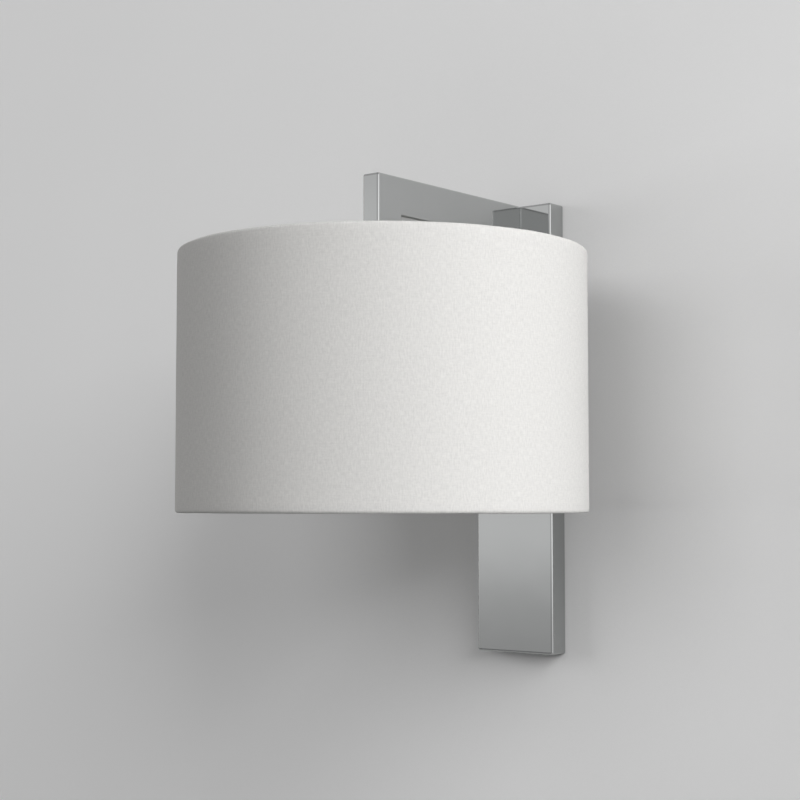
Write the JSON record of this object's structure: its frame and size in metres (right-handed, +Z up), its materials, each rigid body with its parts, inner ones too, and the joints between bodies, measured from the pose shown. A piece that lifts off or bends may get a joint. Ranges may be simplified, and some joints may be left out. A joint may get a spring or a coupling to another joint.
{
  "type": "fabric shade wall light",
  "caption": "Drum-shade wall light: a chrome wall plate carries a flat tube arm that turns down into a round linen shade and holds its lampholder and lamp.",
  "frame": {"origin": "the middle of the wall side of the bracket, on the wall's surface", "axes": "+Z up along the wall plate, +Y into the wall, so the arm and shade stand out along -Y; +X to the right of someone facing the wall"},
  "size_m": [0.25, 0.2798, 0.301],
  "materials": {
    "polished_chrome": "polished",
    "zinc_steel": "bright zinc",
    "dark_steel": "blackened",
    "brass": "machined",
    "tinned_brass": "tinned",
    "nickel_plate": "nickel plated",
    "black_rubber": "matte",
    "white_nylon": "moulded",
    "green_yellow_wire": "two-colour insulation",
    "brown_wire": "insulation",
    "blue_wire": "insulation",
    "holder_plastic": "moulded",
    "white_ceramic": "unglazed",
    "white_coated_wire": "epoxy coated",
    "translucent_liner": "satin",
    "white_linen": "fine plain weave",
    "black_glass": "gloss",
    "lamp_plastic": "satin",
    "board_aluminium": "white solder mask",
    "opal_globe": "opal satin"
  },
  "bodies": {
    "fitting": {"wall_bracket": "zinc_steel", "cable_bush": "black_rubber", "terminal_block": "white_nylon", "terminal_screws": "zinc_steel", "terminal_block_screw": "zinc_steel", "earth_screws": "brass", "earth_tags": "tinned_brass", "earth_wire": "green_yellow_wire", "bonding_wire": "green_yellow_wire", "live_wire": "brown_wire", "neutral_wire": "blue_wire", "wire_clip": "white_nylon", "cover": "polished_chrome", "stiffener": "zinc_steel", "cover_screws": "dark_steel", "arm": "polished_chrome", "arm_end_block": "zinc_steel", "arm_screws": "zinc_steel", "post_end_plug": "polished_chrome", "hollow_stud": "zinc_steel", "lock_nuts": "zinc_steel", "holder_cap": "holder_plastic", "holder_sleeve": "holder_plastic", "holder_insulator": "white_ceramic", "holder_shell": "nickel_plate", "holder_contact": "brass", "holder_terminals": "brass"},
    "shade": {"shade_carrier": "white_coated_wire", "shade_top_ring": "white_coated_wire", "shade_bottom_ring": "white_coated_wire", "shade_liner": "translucent_liner", "shade_fabric": "white_linen"},
    "clamp_washer": {"clamp_washer": "holder_plastic"},
    "clamp_ring": {"clamp_ring": "holder_plastic"},
    "lamp_seat": {"lamp_contact": "tinned_brass"},
    "lamp": {"lamp_glass": "black_glass", "lamp_cap": "nickel_plate", "lamp_body": "lamp_plastic", "lamp_board": "board_aluminium", "lamp_globe": "opal_globe"}
  },
  "joints": [
    {"name": "shade_turn", "type": "hinge", "parent": "fitting", "child": "shade", "pos_m": [0, -0.1548, 0.062], "axis": [0, 0, 1], "continuous": true},
    {"name": "clamp_ring_travel", "type": "slide", "parent": "fitting", "child": "clamp_washer", "axis": [0, 0, -1], "range_m": [0, 0.009]},
    {"name": "clamp_ring_turn", "type": "hinge", "parent": "clamp_washer", "child": "clamp_ring", "pos_m": [0, -0.1548, 0.056], "axis": [0, 0, -1], "range_deg": [0, 1080]},
    {"name": "lamp_travel", "type": "slide", "parent": "fitting", "child": "lamp_seat", "axis": [0, 0, -1], "range_m": [0, 0.0182]},
    {"name": "lamp_turn", "type": "hinge", "parent": "lamp_seat", "child": "lamp", "pos_m": [0, -0.1548, 0.045], "axis": [0, 0, -1], "range_deg": [0, 1800]}
  ],
  "couplings": [
    {"joint": "clamp_ring_travel", "follows": "clamp_ring_turn", "m_per_rad": 0.000477},
    {"joint": "lamp_travel", "follows": "lamp_turn", "m_per_rad": 0.000577}
  ]
}
